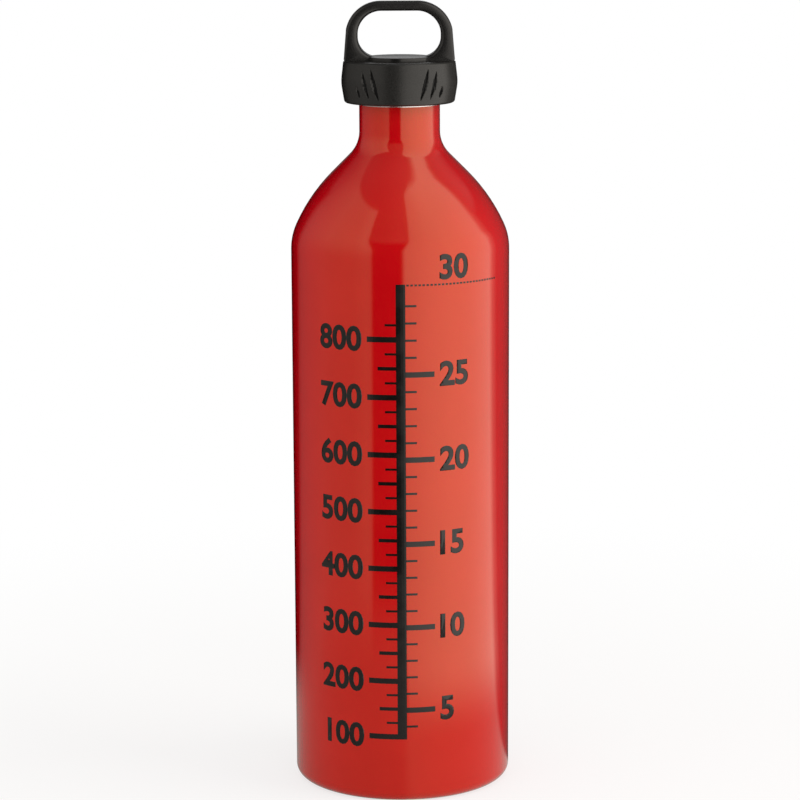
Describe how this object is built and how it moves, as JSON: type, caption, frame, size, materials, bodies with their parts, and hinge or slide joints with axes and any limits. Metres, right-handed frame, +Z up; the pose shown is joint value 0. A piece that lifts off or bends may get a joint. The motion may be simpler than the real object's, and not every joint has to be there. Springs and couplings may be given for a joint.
{
  "type": "camping fuel bottle",
  "caption": "Tall round metal fuel bottle with a domed shoulder and a threaded neck, closed by a push-and-turn screw cap with a carrying loop.",
  "frame": {"origin": "centre of the bottle's base, on the plane it stands on", "axes": "+Z up along the bottle's axis, -Y the front that the picture shows, X along the width of the carrying loop"},
  "size_m": [0.08, 0.08, 0.2891],
  "materials": {
    "red_painted_aluminium": "gloss red paint outside, bare metal inside",
    "seal_rubber": "smooth matt black",
    "plug_plastic": "moulded black plastic",
    "spring_steel": "bright drawn wire",
    "washer_plastic": "natural white plastic",
    "cap_plastic": "satin black, finely textured",
    "loop_plastic": "satin black",
    "ring_plastic": "satin black"
  },
  "bodies": {
    "bottle": {"bottle_shell": "red_painted_aluminium"},
    "seal": {"o_ring": "seal_rubber"},
    "plug": {"threaded_plug": "plug_plastic", "return_spring": "spring_steel"},
    "washer": {"thrust_washer": "washer_plastic"},
    "grip": {"cap_shell": "cap_plastic", "loop_handle": "loop_plastic", "retaining_ring": "ring_plastic"}
  },
  "joints": [
    {"name": "cap_rise", "type": "slide", "parent": "bottle", "child": "seal", "axis": [0, 0, 1], "range_m": [0, 0.015]},
    {"name": "cap_turn", "type": "hinge", "parent": "seal", "child": "plug", "pos_m": [0, 0, 0.26], "axis": [0, 0, 1], "range_deg": [0, 1800]},
    {"name": "grip_push", "type": "slide", "parent": "plug", "child": "washer", "axis": [0, 0, 1], "range_m": [-0.0017, 0], "stiffness_N_per_m": 2000, "springref_m": 0.005, "deforming": ["return_spring"]},
    {"name": "grip_spin", "type": "hinge", "parent": "washer", "child": "grip", "pos_m": [0, 0, 0.26], "axis": [0, 0, 1], "continuous": true}
  ],
  "couplings": [
    {"joint": "cap_rise", "follows": "cap_turn", "m_per_rad": 0.00047746}
  ]
}
